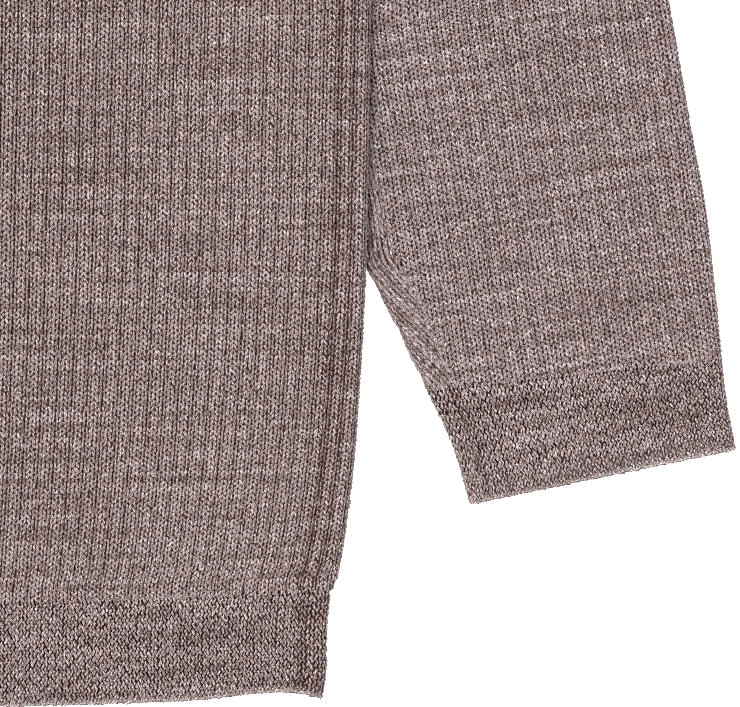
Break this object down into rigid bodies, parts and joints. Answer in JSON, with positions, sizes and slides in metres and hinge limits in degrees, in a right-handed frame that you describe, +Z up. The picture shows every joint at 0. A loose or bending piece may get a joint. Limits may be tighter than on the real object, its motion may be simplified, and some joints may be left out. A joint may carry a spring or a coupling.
{
  "type": "ribbed knit top",
  "caption": "Toddler's round-necked pullover in fine two-wale rib, laid flat with its sleeves down, with ribbed hem band, cuffs and neckband.",
  "frame": {"origin": "on the surface that the garment lies on, under the middle of its box", "axes": "+X across the chest to the garment's left sleeve as worn, +Y from the hem to the neck, +Z up out of the front"},
  "size_m": [0.4528, 0.3444, 0.0081],
  "materials": {
    "body": "heathered wool-look rib knit, matte, slightly fuzzy",
    "sleeve": "heathered wool-look rib knit, matte, slightly fuzzy",
    "hem": "heathered fine rib knit, matte, slightly fuzzy",
    "cuff": "heathered fine rib knit, matte, slightly fuzzy"
  },
  "bodies": {
    "root": {"body_back": "body", "body_front": "body", "sleeve_right": "sleeve", "sleeve_left": "sleeve", "hem_back": "hem", "hem_front": "hem", "neckband": "hem", "cuff_right": "cuff", "cuff_left": "cuff"}
  },
  "joints": []
}
